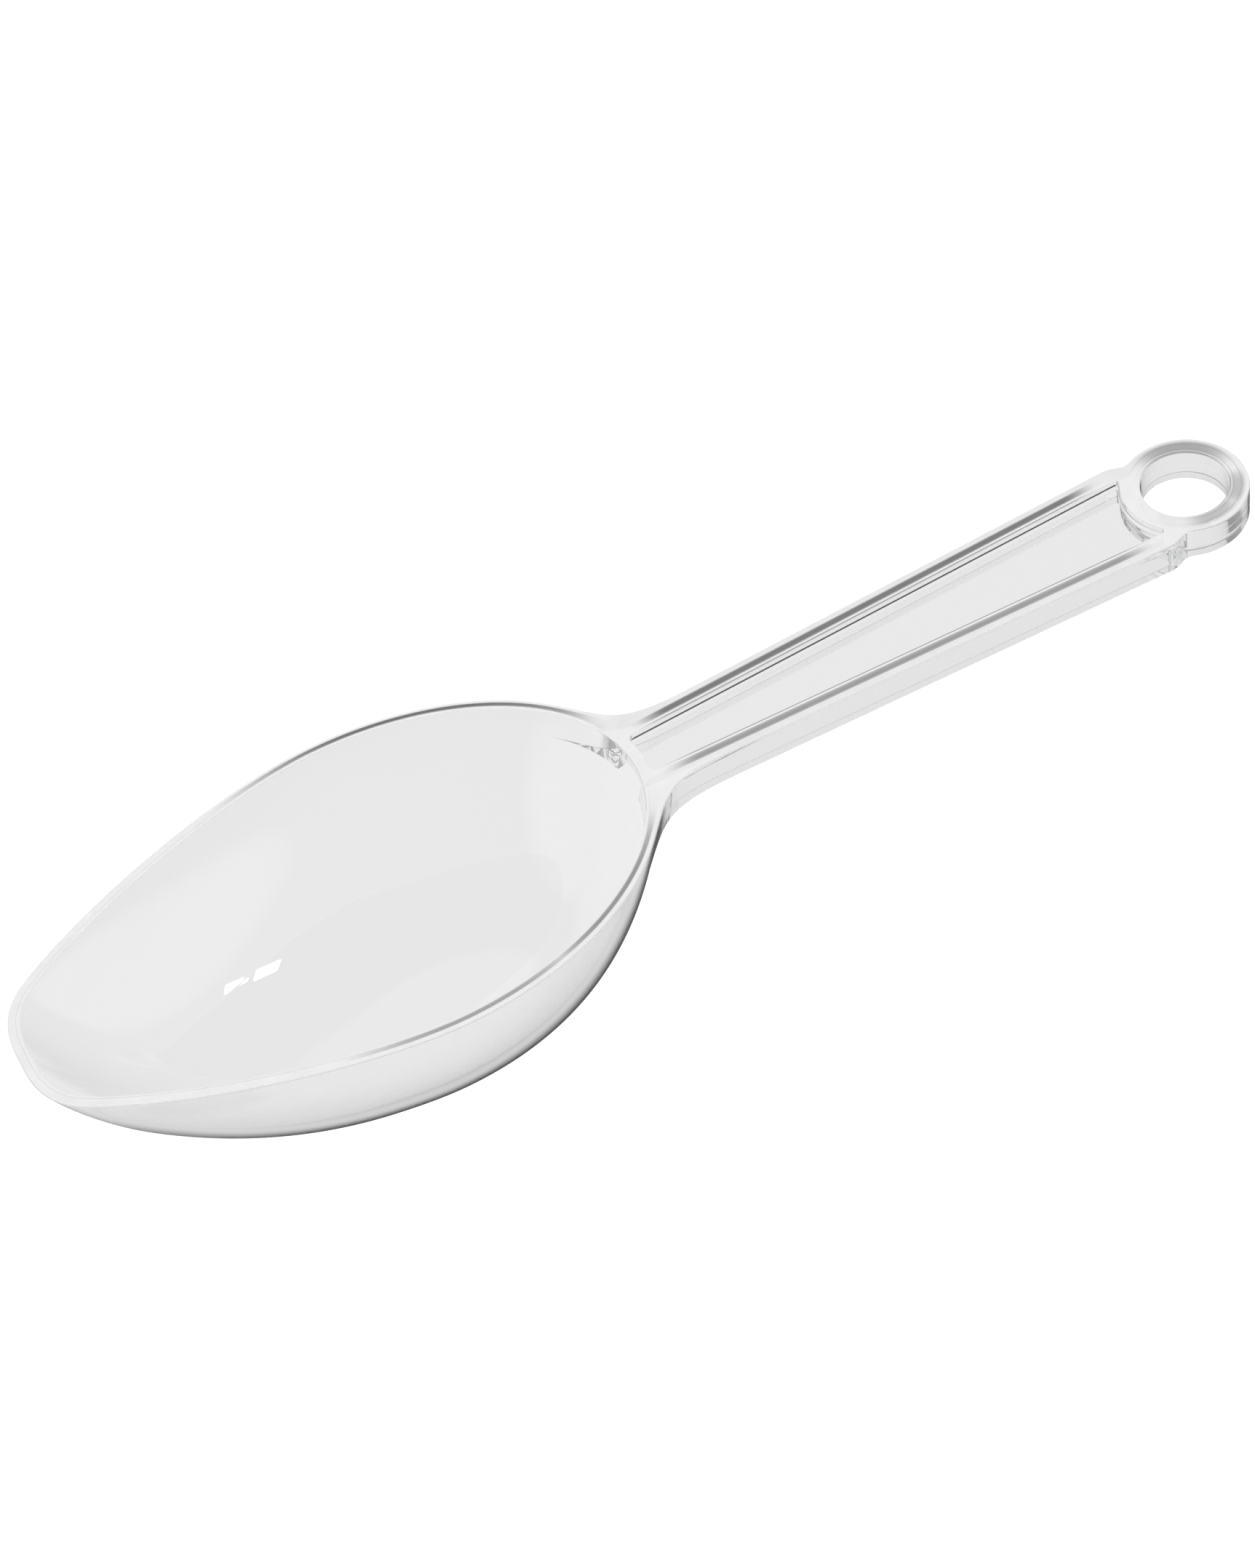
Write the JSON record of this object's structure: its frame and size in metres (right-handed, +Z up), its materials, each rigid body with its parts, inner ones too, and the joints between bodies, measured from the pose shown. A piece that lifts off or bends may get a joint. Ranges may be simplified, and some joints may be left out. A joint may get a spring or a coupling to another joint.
{
  "type": "ice scoop",
  "caption": "Clear plastic hand scoop with a deep oval bowl, a blunt narrowed front lip and a flat recessed handle ending in a hanging ring.",
  "frame": {"origin": "centre of the hanging hole, on the flat top face shared by the ring, the handle and the bowl's rim", "axes": "+X from the bowl towards the hanging ring (the front lip is at -X), +Z up, out of the bowl's mouth, Y across the handle"},
  "size_m": [0.2133, 0.062, 0.037],
  "materials": {
    "clear_body": "gloss",
    "clear_edge": "gloss"
  },
  "bodies": {
    "root": {"bowl_shell": "clear_body", "rim_band": "clear_edge", "front_lip": "clear_edge", "neck_left": "clear_body", "neck_right": "clear_body", "side_wall_left": "clear_body", "side_wall_right": "clear_body", "handle_web": "clear_body", "hanging_ring": "clear_edge"}
  },
  "joints": []
}
